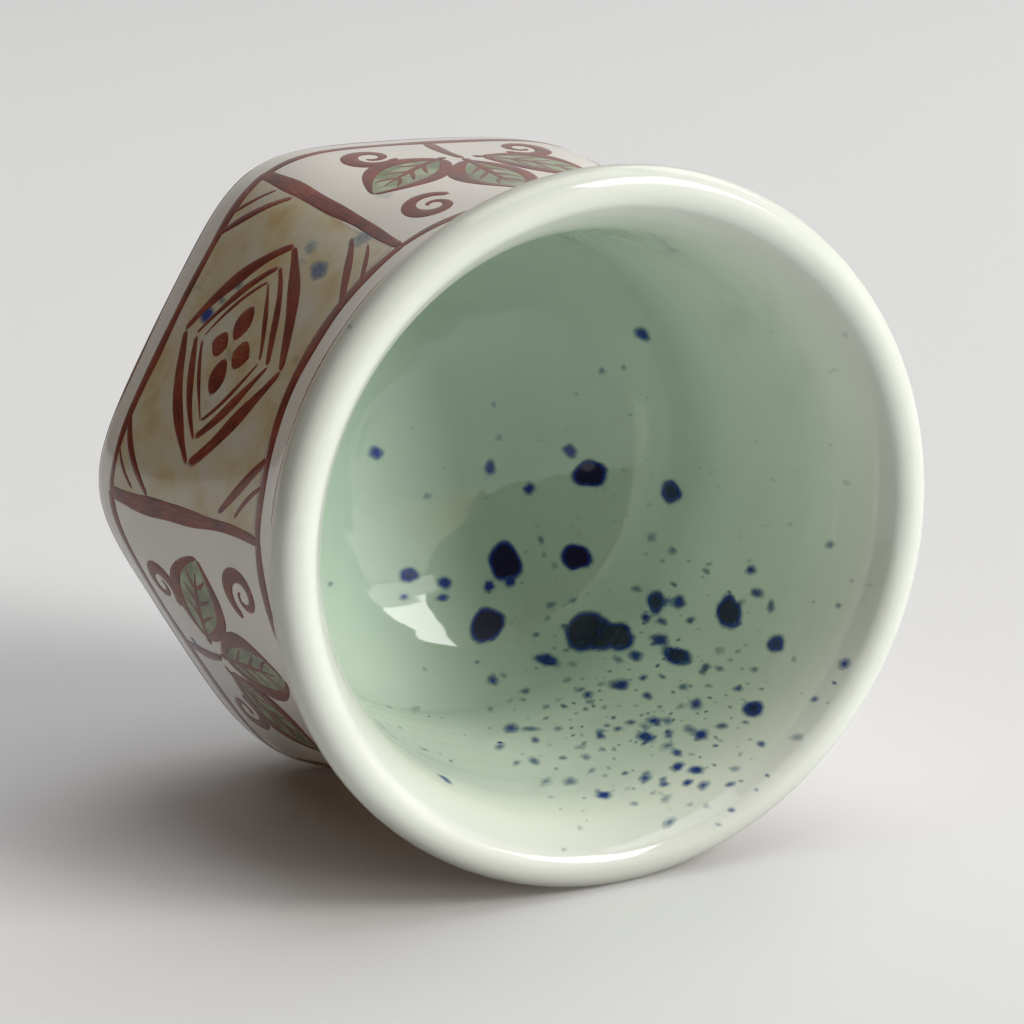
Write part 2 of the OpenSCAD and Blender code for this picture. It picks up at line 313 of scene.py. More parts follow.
def dippedGlaze(glaze):
    # its colour goes by the height on the cup, a little mottled, under a skin with a slow ripple
    material, tree = newMaterial(glaze["name"])
    place = addNode(tree, "TexCoord")
    split = addNode(tree, "SeparateXYZ", None, {"Vector": (place, "Object")})
    rise = addNode(tree, "MapRange", {"From Min": glaze["low"], "From Max": cup["height"]},
                   {"Value": (split, "Z")})
    band = addNode(tree, "ValToRGB", None, {"Fac": rise})
    setStops(band, [(share, glaze[part]) for share, part in glaze["bands"]])
    mottle = addNode(tree, "TexNoise", {"Scale": 1 / glaze["mottleSize"], "Detail": 3},
                     {"Vector": (place, "Object")})
    lightness = addNode(tree, "MapRange", {"To Min": 1 - glaze["mottle"], "To Max": 1 + glaze["mottle"]},
                        {"Value": mottle})
    colour = addNode(tree, "HueSaturation", None, {"Color": band, "Value": lightness})
    ripple = addNode(tree, "TexNoise", {"Scale": 1 / glaze["ripple"], "Detail": 1},
                     {"Vector": (place, "Object")})
    bump = addNode(tree, "Bump", {"Strength": 1, "Distance": glaze["rippleHeight"]}, {"Height": ripple})
    return finished(material, glaze, {"Base Color": colour, "Normal": bump})


# Unglazed porcelain: dry, matt and faintly toasted, with a fine grit
barePorcelain = {"pale": "#ddd6c9", "toast": "#cdbda6", "patch": 5 * mm, "grit": 0.35 * mm,
                 "gritHeight": 0.02 * mm, "roughness": 0.75, "ior": 1.5}


def unglazedPorcelain():
    material, tree = newMaterial("unglazedPorcelain")
    place = addNode(tree, "TexCoord")
    patch = addNode(tree, "TexNoise", {"Scale": 1 / barePorcelain["patch"], "Detail": 4},
                    {"Vector": (place, "Object")})
    tone = addNode(tree, "ValToRGB", None, {"Fac": patch})
    setStops(tone, [(0.35, barePorcelain["pale"]), (0.7, barePorcelain["toast"])])
    grit = addNode(tree, "TexNoise", {"Scale": 1 / barePorcelain["grit"], "Detail": 2},
                   {"Vector": (place, "Object")})
    bump = addNode(tree, "Bump", {"Strength": 1, "Distance": barePorcelain["gritHeight"]}, {"Height": grit})
    return finished(material, barePorcelain, {"Base Color": tone, "Normal": bump})


# Cobalt blue melted into the glaze: navy in the thick middle, teal where it thins, feathered at the edge
cobalt = {"edge": "#4f8a98", "body": "#22439a", "core": "#0a1436", "feather": 0.5 * mm, "uneven": 0.16,
          "cover": (0.03, 0.6), "roughness": 0.05, "ior": 1.5}


def cobaltBlue():
    material, tree = newMaterial("cobaltBlue")
    place = addNode(tree, "TexCoord")
    thick = addNode(tree, "Attribute", {"attribute_name": "thick"})
    grain = addNode(tree, "TexNoise", {"Scale": 1 / cobalt["feather"], "Detail": 3},
                    {"Vector": (place, "Object")})
    spread = addNode(tree, "MapRange", {"To Min": -cobalt["uneven"], "To Max": cobalt["uneven"]},
                     {"Value": grain})
    load = addNode(tree, "Math", {"operation": "ADD"}, {0: (thick, "Fac"), 1: spread})
    tone = addNode(tree, "ValToRGB", None, {"Fac": load})
    setStops(tone, [(0.1, cobalt["edge"]), (0.42, cobalt["body"]), (0.9, cobalt["core"])])
    cover = addNode(tree, "MapRange", {"From Min": cobalt["cover"][0], "From Max": cobalt["cover"][1]},
                    {"Value": load})
    return finished(material, cobalt, {"Base Color": tone, "Alpha": cover})


# Iron-red enamel brushed over the glaze: brown-red, streaky, thin and orange where the brush ran dry
ironRed = {"thin": "#98492c", "full": "#702c1f", "dark": "#481915", "streak": 0.18 * mm, "drawn": 0.12,
           "blot": 3 * mm, "thinCover": 0.72, "roughness": 0.2, "ior": 1.5}


def ironRedEnamel():
    material, tree = newMaterial("ironRedEnamel")
    brush = addNode(tree, "UVMap", {"uv_map": "brush"})
    place = addNode(tree, "TexCoord")
    # the brush map is in metres along and across the stroke, and streaks are drawn out along it
    along = addNode(tree, "Mapping", {"Scale": (ironRed["drawn"], 1, 1)}, {"Vector": brush})
    streak = addNode(tree, "TexNoise", {"Scale": 1 / ironRed["streak"], "Detail": 2}, {"Vector": along})
    blot = addNode(tree, "TexNoise", {"Scale": 1 / ironRed["blot"], "Detail": 2},
                   {"Vector": (place, "Object")})
    load = addNode(tree, "Math", {"operation": "ADD"}, {0: streak, 1: blot})
    half = addNode(tree, "Math", {"operation": "MULTIPLY", 1: 0.5}, {0: load})
    tone = addNode(tree, "ValToRGB", None, {"Fac": half})
    setStops(tone, [(0.32, ironRed["thin"]), (0.5, ironRed["full"]), (0.68, ironRed["dark"])])
    # the glaze shows through where the colour is thin
    cover = addNode(tree, "MapRange",
                    {"From Min": 0.3, "From Max": 0.5, "To Min": ironRed["thinCover"], "To Max": 1},
                    {"Value": half})
    return finished(material, ironRed, {"Base Color": tone, "Alpha": cover})


# Ochre and green enamel: coloured glass floated on in a thin wash, so it pools, streaks and thins
yellowWash = {"name": "ochreEnamel", "thin": "#c9c5b7", "full": "#c3b898", "deep": "#b79d6a",
              "pool": 4 * mm, "cover": 0.92, "roughness": 0.12, "ior": 1.55}
greenWash = {"name": "mossGreenEnamel", "thin": "#a3ae90", "full": "#78835f", "deep": "#586248",
             "pool": 2.5 * mm, "cover": 0.96, "roughness": 0.12, "ior": 1.55}


def glassWash(wash):
    material, tree = newMaterial(wash["name"])
    place = addNode(tree, "TexCoord")
    thick = addNode(tree, "Attribute", {"attribute_name": "thick"})
    pool = addNode(tree, "TexNoise", {"Scale": 1 / wash["pool"], "Detail": 4}, {"Vector": (place, "Object")})
    tone = addNode(tree, "ValToRGB", None, {"Fac": pool})
    setStops(tone, [(0.3, wash["thin"]), (0.52, wash["full"]), (0.75, wash["deep"])])
    cover = addNode(tree, "MapRange", {"From Min": 0, "From Max": 0.5, "To Max": wash["cover"]},
                    {"Value": (thick, "Fac")})
    return finished(material, wash, {"Base Color": tone, "Alpha": cover})


# Pieces: each is one closed mesh that stands for its CAD node
def makePiece(name, points, faces, material, node, normals=None, thick=None, brushMap=None):
    mesh = bpy.data.meshes.new(name)
    mesh.from_pydata([tuple(p) for p in points], [], faces)
    mesh.validate()
    mesh.polygons.foreach_set("use_smooth", [True] * len(mesh.polygons))
    if thick is not None:
        layer = mesh.attributes.new("thick", "FLOAT", "POINT")
        layer.data.foreach_set("value", np.asarray(thick, np.float32))
    if brushMap is not None:
        layer = mesh.uv_layers.new(name="brush")
        corners = np.zeros(len(mesh.loops), np.int32)
        mesh.loops.foreach_get("vertex_index", corners)
        layer.data.foreach_set("uv", np.asarray(brushMap, np.float32)[corners].ravel())
    if normals is not None:
        mesh.normals_split_custom_set_from_vertices([tuple(n) for n in normals])
    mesh.materials.append(material)
    piece = bpy.data.objects.new(name, mesh)
    bpy.context.scene.collection.objects.link(piece)
    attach(piece, "root")
    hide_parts(node)
    print("made", name, len(mesh.polygons), "faces")


def bandFaces(first, second, around):
    # quads between two rings
    ahead = [(step + 1) % around for step in range(around)]
    return [(first + i, first + j, second + j, second + i) for i, j in enumerate(ahead)]


def fanFaces(ring, pole, around, flip=False):
    # triangles between a ring and one point
    ahead = [(step + 1) % around for step in range(around)]
    return [(ring + j, ring + i, pole) if flip else (ring + i, ring + j, pole) for i, j in enumerate(ahead)]


def ringFaces(rows, around, start=0, flip=False):
    # quads of a grid of rings that closes on itself
    faces = []
    for row in range(rows - 1):
        low = start + row * around
        faces += bandFaces(low, low + around, around)
    return [face[::-1] for face in faces] if flip else faces


def cappedRings(grid):
    # rings one after the other, closed by a point on the axis at each end
    rows, around = grid.shape[:2]
    points = np.concatenate([grid.reshape(-1, 3), [[0, 0, grid[0, 0, 2]], [0, 0, grid[-1, 0, 2]]]])
    low = rows * around
    faces = ringFaces(rows, around) + fanFaces(0, low, around, True) + fanFaces(low - around, low + 1, around)
    return points, faces


def joinParts(parts):
    # each part is its points, its faces and then what its points carry
    faces, start = [], 0
    for points, partFaces, *_ in parts:
        faces += [tuple(start + i for i in face) for face in partFaces]
        start += len(points)
    columns = [np.concatenate(column) for i, column in enumerate(zip(*parts)) if i != 1]
    return [columns[0], faces] + columns[1:]


def gridNormals(grid):
    # grid is rows x around x 3, with rows running so that the normal points out of the glaze
    turn = np.roll(grid, -1, 1) - np.roll(grid, 1, 1)
    rise = np.gradient(grid, axis=0)
    normal = np.cross(turn, rise)
    return normal / np.linalg.norm(normal, axis=-1, keepdims=True)


angles = np.linspace(0, 2 * np.pi, cup["around"], endpoint=False)


def outerGrid():
    # rings from the foot, round the turned-under edge, up the wall and flare, to the crest of the lip
    rows = cup["rows"]
    under = np.radians(np.linspace(90, 0, rows["under"]))[:-1]
    underZ = cup["wideZ"] - (cup["wideZ"] - cup["footH"]) * np.sin(under)
    wallZ = np.linspace(cup["wideZ"], cup["neckZ"], rows["wall"])[:-1]
    heights = np.concatenate([underZ, wallZ, outerFlare[:, 1]])
    grid = outerPoint(angles[None, :], heights[:, None])
    roll = np.linspace(-turnOut, math.pi / 2, rows["lip"])[1:]
    return np.concatenate([grid, spunGrid(*onRoll(roll))])


def spunGrid(radius, height):
    ring = np.stack([np.cos(angles), np.sin(angles), 0 * angles], -1)
    lift = np.zeros((len(height), 1, 3))
    lift[:, 0, 2] = height
    return radius[:, None, None] * ring[None] + lift


def innerLine():
    # radius and height from the crest of the lip down to the middle of the floor
    roll = np.stack(onRoll(np.linspace(math.pi / 2, math.pi / 2 + turnIn, cup["rows"]["lipIn"])), -1)
    dip = np.radians(np.linspace(0, cup["bowlDip"], cup["rows"]["bowl"]))[1:]
    bowl = np.stack([cup["bellyR"] * np.cos(dip),
                     cup["bellyZ"] - (cup["bellyZ"] - cup["floorZ"]) * np.sin(dip)], -1)
    return np.concatenate([roll, innerFlare[1:], innerWall[1:], bowl])


def innerGrid():
    line = innerLine()
    grid = spunGrid(line[:, 0], line[:, 1])
    length = lengthAlong(line)
    fade = np.clip((cup["lipZ"] - line[:, 1]) / cup["throwFade"], 0, 1)
    normals = gridNormals(grid)
    mark = throwMark(length[:, None], angles[None, :]) * fade[:, None]
    return grid + normals * mark[..., None]


outside = outerGrid()
inside = innerGrid()
skin = np.concatenate([outside, inside[1:]])
skinNormals = gridNormals(skin)
outsideNormals = skinNormals[:len(outside)]
insideNormals = skinNormals[len(outside) - 1:]


def glazeShell(grid, normals, pole):
    # visible face, a coarser back face one glaze thickness behind it, and the ends closed
    rows, around = grid.shape[:2]
    backRows = list(range(0, rows - 1, cup["backStep"])) + [rows - 1]
    back = (grid - normals * cup["glaze"])[backRows]
    points = np.concatenate([grid.reshape(-1, 3), back.reshape(-1, 3)])
    pointNormals = np.concatenate([normals.reshape(-1, 3), -normals[backRows].reshape(-1, 3)])
    start = rows * around
    faces = ringFaces(rows, around) + ringFaces(len(backRows), around, start, True)
    faces += bandFaces(start, 0, around)
    lastFront = start - around
    lastBack = len(points) - around
    if not pole:
        return points, faces + bandFaces(lastFront, lastBack, around), pointNormals
    middle = grid[-1].mean(0)
    frontPole = len(points)
    points = np.concatenate([points, [middle, middle - [0, 0, cup["glaze"]]]])
    pointNormals = np.concatenate([pointNormals, [[0, 0, 1], [0, 0, -1]]])
    faces += fanFaces(lastFront, frontPole, around) + fanFaces(lastBack, frontPole + 1, around, True)
    return points, faces, pointNormals


def rayTree(grid):
    # for finding where a drop lands on a glaze
    return BVHTree.FromPolygons([Vector(p) for p in grid.reshape(-1, 3)], ringFaces(*grid.shape[:2]))


clearMaterial = dippedGlaze(clear)
celadonMaterial = dippedGlaze(celadon)
points, faces, normals = glazeShell(outside, outsideNormals, False)
makePiece("outer_glaze_skin", points, faces, clearMaterial, "outer_glaze", normals)
outerTree = rayTree(outside)
points, faces, normals = glazeShell(inside, insideNormals, True)
makePiece("inner_glaze_skin", points, faces, celadonMaterial, "inner_glaze", normals)
innerTree = rayTree(inside)

# Clay: just under both glazes and closed under the floor, with every fourth row and step
clay = {"inset": 1.15 * cup["glaze"], "step": 4}
wall = (skin - skinNormals * clay["inset"])[:, ::clay["step"]]
unglazed = unglazedPorcelain()
points, faces = cappedRings(np.concatenate([wall[::clay["step"]], wall[-1:]]))
makePiece("porcelain_body_clay", points, faces, unglazed, "porcelain_body")

# Foot: a trimmed ring with softened edges, bare where it stands, and a glazed hollow inside it
foot = {"edge": 0.7 * mm, "edgeSteps": 6, "flute": 0.25 * mm, "fluteRise": 0.62, "meniscus": 1.1 * mm}


def footLine():
    line = [(cup["footInR"], cup["footH"])]
    edge, out, inn = foot["edge"], cup["footR"], cup["footInR"]
    for a in np.radians(np.linspace(180, 270, foot["edgeSteps"])):
        line.append((inn + edge + edge * math.cos(a), edge + edge * math.sin(a)))
    for a in np.radians(np.linspace(270, 360, foot["edgeSteps"])):
        line.append((out - edge + edge * math.cos(a), edge + edge * math.sin(a)))
    line.append((out - foot["flute"], foot["fluteRise"] * cup["footH"]))
    line.append((out, cup["footH"]))
    return np.array(line)


def closedRing(line):
    grid = spunGrid(line[:, 0], line[:, 1])[:, ::2]
    rows, around = grid.shape[:2]
    return grid.reshape(-1, 3), ringFaces(rows, around) + bandFaces((rows - 1) * around, 0, around)


points, faces = closedRing(footLine())
makePiece("foot_ring_bare", points, faces, unglazed, "foot_ring")


def baseLine():
    # from the middle outwards, curling down against the ring, and back above
    top = cup["footH"]
    thick = baseHigh.z - baseLow.z
    out = cup["footInR"]
    curl = foot["meniscus"]
    line = [(r * out, top - thick) for r in (0.1, 0.3, 0.5, 0.7, 0.85)]
    for a in np.radians(np.linspace(90, 0, 7)):
        line.append((out - curl + curl * math.cos(a), top - thick - curl + curl * math.sin(a)))
    line += [(r * out, top) for r in (1, 0.9, 0.5, 0.1)]
    return np.array(line)


line = baseLine()
points, faces = cappedRings(spunGrid(line[:, 0], line[:, 1])[:, ::4])
makePiece("base_glaze_pool", points, faces, clearMaterial, "base_glaze")
print("body, glazes and foot done")

# Enamel: painted in millimetres across and up each side, after the glaze firing
enamel = {
    "lift": 0.03 * mm, "sunk": 0.03 * mm, "step": 0.35 * mm, "seed": 11,
    "lineW": 1.3 * mm, "thinW": 0.85 * mm, "hairW": 0.5 * mm, "washGap": 0.5 * mm,
    "breath": ((0.11, 2.9 * mm), (0.06, 1.1 * mm)),          # how a line's width wavers, and over what length
    "sway": ((0.12 * mm, 3.7 * mm), (0.05 * mm, 1.6 * mm)),  # how its path wavers
    "manners": {  # how far the tip is drawn out, how hard the middle is pressed
        "frame": (0.15, 0.3), "corner": (0.35, 0.3), "lozenge": (0.3, 0.5), "petal": (0.2, 0.9),
        "slant": (0.2, 0.4), "leafEdge": (0.45, 0.7), "vein": (0.7, 0), "stalk": (0.3, 0.3),
        "scroll": (0.5, 0.5),
    },
    "frameLow": 2 * mm, "frameTop": 26.6 * mm,         # edges of the frame, up from the widest level
    "baseLineUp": -0.9 * mm, "neckLineUp": 28.9 * mm,  # thin lines below and above the frame
    "overrun": 0.3 * mm,                               # past the corner, so that the lines meet
    "lozengeW": 22 * mm, "lozengeH": 19 * mm, "cornerSpan": 6.5 * mm,
    "lozengeRings": ((0.5, "lineW"), (2.3, "thinW"), (3.5, "hairW")),  # lines in from the edge, and the brush
    "petalLen": 4.2 * mm, "petalFlat": 0.8, "petalStart": 0.16,
    "leafLen": 10.4 * mm, "leafW": 5.6 * mm, "leafGap": 2.4 * mm, "leafLean": math.radians(60),
    "leafBlunt": 0.8, "stalkLen": 5 * mm, "stalkOver": 2 * mm,
    "ribStart": -0.1, "ribLen": 0.95,                  # shares of the leaf
    "veinRoots": (0.2, 0.4, 0.6), "veinLen": 0.22, "veinReach": 0.72,
    "highCurl": (8.3 * mm, 21.4 * mm, 2.6 * mm),       # across, up, size
    "lowCurl": (7.2 * mm, 6.9 * mm, 2.4 * mm),
    "curlStart": math.radians(-150), "curlTurns": 1.35, "curlIn": 0.8,
    "washInset": (0.3 * mm, 0.2 * mm), "washWander": 0.3 * mm, "washWaves": 9, "washFeather": 1.2 * mm,
    "washLift": 0.012 * mm, "leafLift": 0.016 * mm,
    "yellowSides": (1, 3, 5), "greenSides": (0, 2, 4),
}
brushDraw = random.Random(enamel["seed"])
frameLow = enamel["frameLow"] + enamel["lineW"] / 2
frameTop = enamel["frameTop"] - enamel["lineW"] / 2
panelMid = (frameLow + frameTop) / 2


def onSide(side, spots):
    # places on a side and the way out of it; spots run across to the right and up from the widest level
    z = cup["wideZ"] + spots[..., 1]
    angle = sideAngle(side) + np.arctan2(spots[..., 0], outerForm(z)[0])
    return outerPoint(angle, z), outerNormal(angle, z)


def halfSide(up):
    # from the middle of a side to its corner
    return outerForm(cup["wideZ"] + up)[0] * math.tan(math.pi / cup["sides"])


def evenPath(corners, step):
    # points at even steps along a line through the given corners
    corners = np.array(corners, float)
    length = lengthAlong(corners)
    count = max(5, int(length[-1] / step))
    places = np.linspace(0, length[-1], count)
    return np.stack([np.interp(places, length, corners[:, i]) for i in (0, 1)], -1), places


def brushStroke(side, corners, width, manner):
    # one loaded brush line: domed, pressed harder in its middle, its ends rounded or drawn out to a point
    taper, swell = enamel["manners"][manner]
    path, places = evenPath(corners, enamel["step"])
    total = places[-1]
    heading = np.gradient(path, axis=0)
    heading = heading / np.maximum(np.linalg.norm(heading, axis=1, keepdims=True), 1e-9)
    across = np.stack([heading[:, 1], -heading[:, 0]], -1)
    phase = [brushDraw.uniform(0, 6.28) for _ in range(4)]
    waver = [size * np.sin(places / length + start)
             for (size, length), start in zip(enamel["breath"] + enamel["sway"], phase)]
    breath = 1 + waver[0] + waver[1]
    path = path + across * (waver[2] + waver[3])[:, None]
    fromEnd = np.minimum(places, total - places)
    cap = np.sqrt(np.clip(1 - (1 - np.clip(fromEnd / (0.5 * width), 0, 1)) ** 2, 0.01, 1))
    draw = 1 - taper * (1 - ease(np.clip((total - places) / (0.6 * total), 0, 1)))
    press = 1 + swell * (np.sin(np.pi * places / total) - 0.5)
    half = 0.5 * width * breath * cap * draw * press
    shares = np.array([-1, -0.9, -0.55, 0, 0.55, 0.9, 1, 0])
    lifts = np.array([-0.4, 0.35, 0.9, 1, 0.9, 0.35, -0.4, -1.0])
    heights = np.where(lifts > 0, lifts * enamel["lift"], lifts * enamel["sunk"])
    spots = path[:, None, :] + across[:, None, :] * (shares[None, :, None] * half[:, None, None])
    rise = heights[None, :] * np.clip(half / (0.25 * width), 0.3, 1)[:, None]
    glaze, normals = onSide(side, spots)
    points = glaze + normals * rise[..., None]
    count = len(shares)
    faces = ringFaces(len(path), count, 0, True)
    faces.append(tuple(range(count)))
    faces.append(tuple(range(len(path) * count - count, len(path) * count))[::-1])
    brushMap = np.stack([np.repeat(places, count) + 0.01 * phase[0],
                         (shares[None, :] * half[:, None]).ravel() + 0.01 * phase[1]], -1)
    return points.reshape(-1, 3), faces, brushMap


def bowed(start, end, bow):
    # a line with a slight bow to its right
    start, end = np.array(start), np.array(end)
    way = (end - start) / np.linalg.norm(end - start)
    t = np.linspace(0, 1, 24)[:, None]
    return start + (end - start) * t + np.array([way[1], -way[0]]) * bow * 4 * t * (1 - t)


def curl(across, up, size, start, turns):
    # a scroll that winds in on itself
    t = np.linspace(0, 1, 48)
    turn = start + turns * 2 * np.pi * t
    reach = size * (1 - enamel["curlIn"] * t)
    return np.stack([across + reach * np.cos(turn), up + reach * np.sin(turn)], -1)


def drawFrames():
    # lines round the base and the neck and one up each corner, stroke by stroke
    strokes = []
    rows = [(frameLow, enamel["lineW"]), (frameTop, enamel["lineW"]),
            (enamel["baseLineUp"], enamel["thinW"]), (enamel["neckLineUp"], enamel["hairW"])]
    for side in range(cup["sides"]):
        for up, width in rows:
            reach = halfSide(up) + enamel["overrun"]
            bow = brushDraw.uniform(-0.3, 0.3) * width
            strokes.append(brushStroke(side, bowed((-reach, up), (reach, up), bow), width, "frame"))
        line = bowed((0, frameLow), (0, frameTop), brushDraw.uniform(-0.3, 0.3) * mm)
        strokes.append(brushStroke(side + 0.5, line, 1.1 * enamel["lineW"], "corner"))
    return strokes


def drawLozenges():
    # nested lozenges, a four-petalled flower in the middle and slanting lines across the corners
    strokes = []
    for side in enamel["yellowSides"]:
        for ring, brush in enamel["lozengeRings"]:
            inset = ring * enamel["lineW"]
            halfW, halfH = enamel["lozengeW"] / 2 - inset, enamel["lozengeH"] / 2 - inset
            corners = [(halfW, panelMid), (0, panelMid + halfH), (-halfW, panelMid), (0, panelMid - halfH)]
            for i in range(4):
                line = bowed(corners[i], corners[(i + 1) % 4], brushDraw.uniform(0.1, 0.5) * mm)
                strokes.append(brushStroke(side, line, enamel[brush], "lozenge"))
        for turn in np.radians([0, 90, 180, 270]):
            way = np.array([math.cos(turn), enamel["petalFlat"] * math.sin(turn)])
            line = np.array([0, panelMid]) + np.outer([enamel["petalStart"], 1], way * enamel["petalLen"])
            strokes.append(brushStroke(side, line, 1.5 * enamel["lineW"], "petal"))
        for acrossWay in (-1, 1):
            for upWay, edge in ((-1, frameLow), (1, frameTop)):
                reach = halfSide(edge) - enamel["lineW"]
                for step, width in ((1, enamel["thinW"]), (0.62, enamel["hairW"])):
                    span = enamel["cornerSpan"] * step
                    start, end = (acrossWay * (reach - span), edge), (acrossWay * reach, edge - upWay * span)
                    strokes.append(brushStroke(side, bowed(start, end, 0.2 * mm), width, "slant"))
    return strokes


def leafSpot(way, along, across):
    # along and across a leaf of the sprig, to places on the side
    length = enamel["leafGap"] + enamel["leafLen"] * along
    half = enamel["leafW"] / 2 * np.sin(np.pi * np.clip(along, 0, 1)) ** enamel["leafBlunt"]
    lean = enamel["leafLean"] * way
    sprigUp = frameLow + enamel["lineW"] / 2 + enamel["washGap"] + enamel["stalkLen"]
    x = np.sin(lean) * length + np.cos(lean) * across * half
    up = sprigUp + np.cos(lean) * length - np.sin(lean) * across * half
    return np.stack([x, up], -1)


def drawLeafLines():
    # a sprig of three veined leaves on a stalk, with scrolls in the corners
    strokes = []
    t = np.linspace(0, 1, 30)
    for side in enamel["greenSides"]:
        for way in (-1, 0, 1):
            for edge in (-1, 1):
                outline = leafSpot(way, t, edge * np.ones(len(t)))
                strokes.append(brushStroke(side, outline, enamel["lineW"], "leafEdge"))
                for root in enamel["veinRoots"]:
                    vein = leafSpot(way, root + enamel["veinLen"] * t, edge * enamel["veinReach"] * t)
                    strokes.append(brushStroke(side, vein, enamel["hairW"], "vein"))
            rib = leafSpot(way, enamel["ribLen"] * t + enamel["ribStart"], np.zeros(len(t)))
            strokes.append(brushStroke(side, rib, enamel["thinW"], "vein"))
        low = frameLow + enamel["washGap"]
        stalk = bowed((0, low), (0, low + enamel["stalkLen"] + enamel["stalkOver"]), 0.4 * mm)
        strokes.append(brushStroke(side, stalk, enamel["lineW"], "stalk"))
        for acrossWay in (-1, 1):
            for (across, up, size), upWay in ((enamel["highCurl"], 1), (enamel["lowCurl"], -1)):
                start = math.pi / 2 * (1 - acrossWay) + acrossWay * upWay * enamel["curlStart"]
                scroll = curl(acrossWay * across, up, size, start, enamel["curlTurns"] * acrossWay * upWay)
                strokes.append(brushStroke(side, scroll, enamel["lineW"], "scroll"))
    return strokes


def patchShell(side, spots, thick, lift):
    # a closed thin patch over a grid of places on a side, rows x columns x 2
    rows, columns = thick.shape
    glaze, normals = onSide(side, spots)
    top = glaze + normals * np.where(thick > 0, lift, -0.2 * lift)[..., None]
    under = glaze - normals * enamel["sunk"]
    normals = normals.reshape(-1, 3)
    points = np.concatenate([top.reshape(-1, 3), under.reshape(-1, 3)])
    size = rows * columns
    faces = []
    for row in range(rows - 1):
        for column in range(columns - 1):
            a = row * columns + column
            quad = (a, a + 1, a + columns + 1, a + columns)
            faces.append(quad)
            faces.append(tuple(size + i for i in quad[::-1]))
    rim = list(range(columns)) + [r * columns + columns - 1 for r in range(1, rows)]
    rim += [(rows - 1) * columns + c for c in range(columns - 2, -1, -1)]
    rim += [r * columns for r in range(rows - 2, 0, -1)]
    for i in range(len(rim)):
        a, b = rim[i], rim[(i + 1) % len(rim)]
        faces.append((b, a, size + a, size + b))
    return points, faces, np.concatenate([normals, -normals]), np.concatenate([thick.ravel(), thick.ravel()])


def floatWashes():
    # ochre floated over a whole side between the lines of its frame
    patches = []
    across = np.linspace(-1, 1, 61)
    rise = np.linspace(0, 1, 51)
    sideInset, endInset = enamel["washInset"]
    low, top = frameLow + endInset, frameTop - endInset
    up = low + (top - low) * rise
    halfW = halfSide(up) - sideInset
    edge = np.minimum((1 - np.abs(across))[None, :] * halfW[:, None],
                      (np.minimum(rise, 1 - rise) * (top - low))[:, None])
    thick = np.clip(edge / enamel["washFeather"], 0, 1)
    for side in enamel["yellowSides"]:
        wander = enamel["washWander"] * np.sin(enamel["washWaves"] * rise + side)
        spots = np.stack([across[None, :] * halfW[:, None] + wander[:, None] * (1 - across[None, :] ** 2),
                          up[:, None] + 0 * across[None, :]], -1)
        patches.append(patchShell(side, spots, thick, enamel["washLift"]))
    return patches


def floatLeaves():
    # green inside the outline of each leaf, thinning towards it
    patches = []
    along, across = np.meshgrid(np.linspace(0.01, 0.99, 33), np.linspace(-0.96, 0.96, 15), indexing="ij")
    edge = np.minimum(1 - np.abs(across), np.minimum(along, 1 - along) * 6)
    thick = np.clip(edge * 4, 0, 1)
    for side in enamel["greenSides"]:
        for way in (-1, 0, 1):
            patches.append(patchShell(side, leafSpot(way, along, across), thick, enamel["leafLift"]))
    return patches


redMaterial = ironRedEnamel()
for name, strokes, node, slot in (
        ("red_frame_lines", drawFrames(), "red_frames", "red_frame_enamel"),
        ("red_lozenge_lines", drawLozenges(), "red_lozenges", "red_lozenge_enamel"),
        ("red_leaf_strokes", drawLeafLines(), "red_leaf_lines", "red_leaf_enamel")):
    points, faces, brushMap = joinParts(strokes)
    makePiece(name, points, faces, redMaterial, node, brushMap=brushMap)
for name, patches, wash, node, slot in (
        ("ochre_washes", floatWashes(), yellowWash, "yellow_washes", "yellow_enamel"),
        ("green_leaf_washes", floatLeaves(), greenWash, "green_leaves", "green_enamel")):
    points, faces, normals, thick = joinParts(patches)
    makePiece(name, points, faces, glassWash(wash), node, normals, thick)
print("enamel painted")

